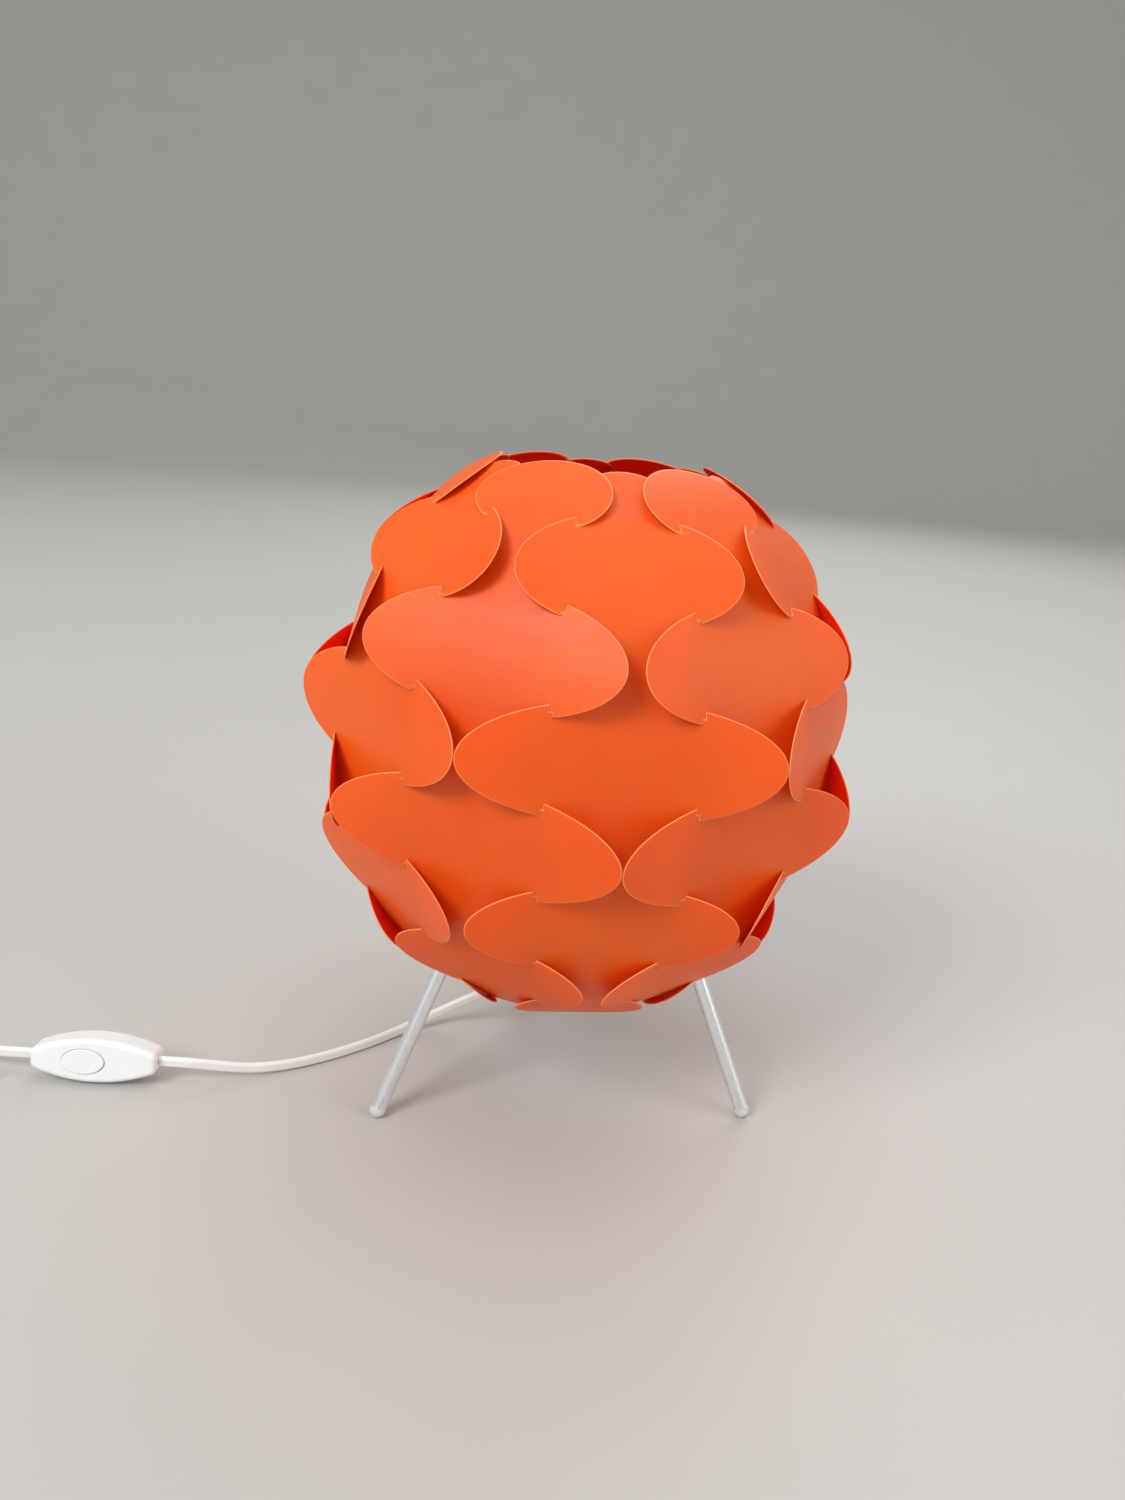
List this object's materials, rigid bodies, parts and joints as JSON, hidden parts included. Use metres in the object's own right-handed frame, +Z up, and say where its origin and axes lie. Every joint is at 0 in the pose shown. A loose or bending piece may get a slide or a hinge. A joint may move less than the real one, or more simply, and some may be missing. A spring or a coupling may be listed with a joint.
{
  "type": "table lamp",
  "caption": "Table lamp with a ball shade of hooked plastic strips on three splayed metal legs, with a mains cord, an inline push switch and a flat plug.",
  "frame": {"origin": "on the table, under the shade's axis", "axes": "+Z up along the shade's axis, -Y to the front, where one strip faces, +X to the right"},
  "size_m": [0.5194, 0.2987, 0.3142],
  "materials": {
    "shade_plastic": "satin",
    "leg_aluminium": "satin",
    "clear_rubber": "satin",
    "white_steel": "satin",
    "zinc_steel": "satin",
    "holder_plastic": "satin",
    "white_plastic": "satin",
    "contact_brass": "satin",
    "core_copper": "satin",
    "bulb_cap_metal": "satin",
    "opal_glass": "satin",
    "cord_white": "satin"
  },
  "bodies": {
    "lamp": {"shade_strip_01": "shade_plastic", "shade_strip_02": "shade_plastic", "shade_strip_03": "shade_plastic", "shade_strip_04": "shade_plastic", "shade_strip_05": "shade_plastic", "shade_strip_06": "shade_plastic", "shade_strip_07": "shade_plastic", "shade_strip_08": "shade_plastic", "shade_strip_09": "shade_plastic", "shade_strip_10": "shade_plastic", "shade_strip_11": "shade_plastic", "shade_strip_12": "shade_plastic", "leg_1": "leg_aluminium", "foot_tip_1": "clear_rubber", "leg_socket_1": "zinc_steel", "leg_2": "leg_aluminium", "foot_tip_2": "clear_rubber", "leg_socket_2": "zinc_steel", "leg_3": "leg_aluminium", "foot_tip_3": "clear_rubber", "leg_socket_3": "zinc_steel", "leg_plate": "white_steel", "holder_nipple": "zinc_steel", "lock_washer": "zinc_steel", "nipple_nut": "zinc_steel", "cord_grip": "white_plastic", "cord_grip_screw": "zinc_steel", "supply_cores": "core_copper", "lampholder_cap": "holder_plastic", "lampholder_body": "holder_plastic", "contact_carrier": "holder_plastic", "contact_sleeve": "contact_brass", "centre_contact": "contact_brass", "holder_terminal_screws": "contact_brass", "bulb_base_contact": "contact_brass", "bulb_cap": "bulb_cap_metal", "bulb_glass": "opal_glass", "cord_to_switch": "cord_white", "cord_to_coil": "cord_white", "cord_coil": "cord_white", "cord_tail": "cord_white", "coil_tie": "white_plastic", "plug_body": "white_plastic", "plug_pins": "contact_brass", "plug_pin_sleeves": "white_plastic", "switch_back_shell": "white_plastic", "switch_front_shell": "white_plastic", "switch_shell_screws": "zinc_steel", "switch_guide": "holder_plastic", "switch_fixed_contacts": "contact_brass", "switch_terminal_screws": "contact_brass", "switch_cord_clamps": "zinc_steel", "switch_cores": "core_copper"},
    "button": {"switch_button": "white_plastic", "switch_return_spring": "zinc_steel"},
    "rotor": {"switch_rotor": "holder_plastic"}
  },
  "joints": [
    {"name": "button_press", "type": "slide", "parent": "lamp", "child": "button", "axis": [0.1029, 0.9794, -0.1736], "range_m": [0, 0.002], "stiffness_N_per_m": 1200, "springref_m": -0.001},
    {"name": "rotor_turn", "type": "hinge", "parent": "lamp", "child": "rotor", "pos_m": [-0.23346, -0.0171, 0.01121], "axis": [-0.1029, -0.9794, 0.1736], "range_deg": [0, 90]}
  ],
  "couplings": [
    {"joint": "rotor_turn", "follows": "button_press", "rad_per_m": 782}
  ]
}
